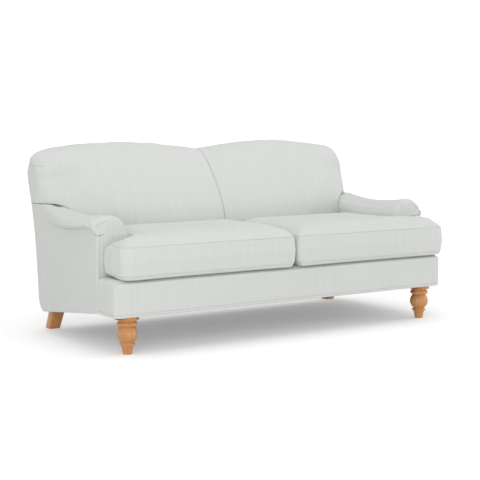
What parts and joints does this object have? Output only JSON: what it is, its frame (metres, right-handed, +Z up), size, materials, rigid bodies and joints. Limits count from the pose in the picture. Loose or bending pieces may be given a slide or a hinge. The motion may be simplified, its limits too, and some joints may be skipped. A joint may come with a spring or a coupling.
{
  "type": "sofa",
  "caption": "English roll arm sofa with a camel back, low scrolled arms, loose T-shaped seat cushions and turned front legs.",
  "frame": {"origin": "on the floor, in the middle of the sofa's width and of its overall depth", "axes": "+Z up, the sofa faces -Y, +X to the right of a person who looks at its front"},
  "size_m": [1.964, 0.972, 0.9218],
  "materials": {
    "upholstery": "matt plain-woven cover cloth, pale warm grey",
    "oiled_oak": "satin oiled oak, honey brown",
    "frame_timber": "plain sawn beech",
    "fixing_steel": "bright zinc plate",
    "spring_steel": "dark spring wire",
    "platform_cloth": "matt platform lining",
    "dust_cloth": "matt black non-woven dust cloth",
    "webbing": "woven jute"
  },
  "bodies": {
    "sofa_frame": {"back_rail": "frame_timber", "centre_back_post": "frame_timber", "centre_cross_rail": "frame_timber", "dust_cover": "dust_cloth", "front_border": "upholstery", "front_rail": "frame_timber", "left_arm_board": "frame_timber", "left_arm_facing": "upholstery", "left_arm_pad": "upholstery", "left_arm_stump": "frame_timber", "left_arm_tack_rail": "frame_timber", "left_back_leg": "oiled_oak", "left_back_leg_block": "frame_timber", "left_back_leg_bolt": "fixing_steel", "left_back_pad": "upholstery", "left_back_post": "frame_timber", "left_back_tack_rail": "frame_timber", "left_back_threaded_insert": "fixing_steel", "left_back_webbing": "webbing", "left_front_leg": "oiled_oak", "left_front_leg_block": "frame_timber", "left_front_leg_bolt": "fixing_steel", "left_front_threaded_insert": "fixing_steel", "left_outer_arm_panel": "upholstery", "left_side_rail": "frame_timber", "outer_back_panel": "upholstery", "right_arm_board": "frame_timber", "right_arm_facing": "upholstery", "right_arm_pad": "upholstery", "right_arm_stump": "frame_timber", "right_arm_tack_rail": "frame_timber", "right_back_leg": "oiled_oak", "right_back_leg_block": "frame_timber", "right_back_leg_bolt": "fixing_steel", "right_back_pad": "upholstery", "right_back_post": "frame_timber", "right_back_tack_rail": "frame_timber", "right_back_threaded_insert": "fixing_steel", "right_back_webbing": "webbing", "right_front_leg": "oiled_oak", "right_front_leg_block": "frame_timber", "right_front_leg_bolt": "fixing_steel", "right_front_threaded_insert": "fixing_steel", "right_outer_arm_panel": "upholstery", "right_side_rail": "frame_timber", "seat_deck": "platform_cloth", "seat_spring_1": "spring_steel", "seat_spring_10": "spring_steel", "seat_spring_2": "spring_steel", "seat_spring_3": "spring_steel", "seat_spring_4": "spring_steel", "seat_spring_5": "spring_steel", "seat_spring_6": "spring_steel", "seat_spring_7": "spring_steel", "seat_spring_8": "spring_steel", "seat_spring_9": "spring_steel", "top_back_rail": "frame_timber"},
    "left_seat_cushion": {"left_seat_cushion": "upholstery"},
    "right_seat_cushion": {"right_seat_cushion": "upholstery"}
  },
  "joints": [
    {"name": "left_cushion_lift", "type": "slide", "parent": "sofa_frame", "child": "left_seat_cushion", "axis": [0, 0, 1], "range_m": [0, 0.32]},
    {"name": "right_cushion_lift", "type": "slide", "parent": "sofa_frame", "child": "right_seat_cushion", "axis": [0, 0, 1], "range_m": [0, 0.32]}
  ]
}
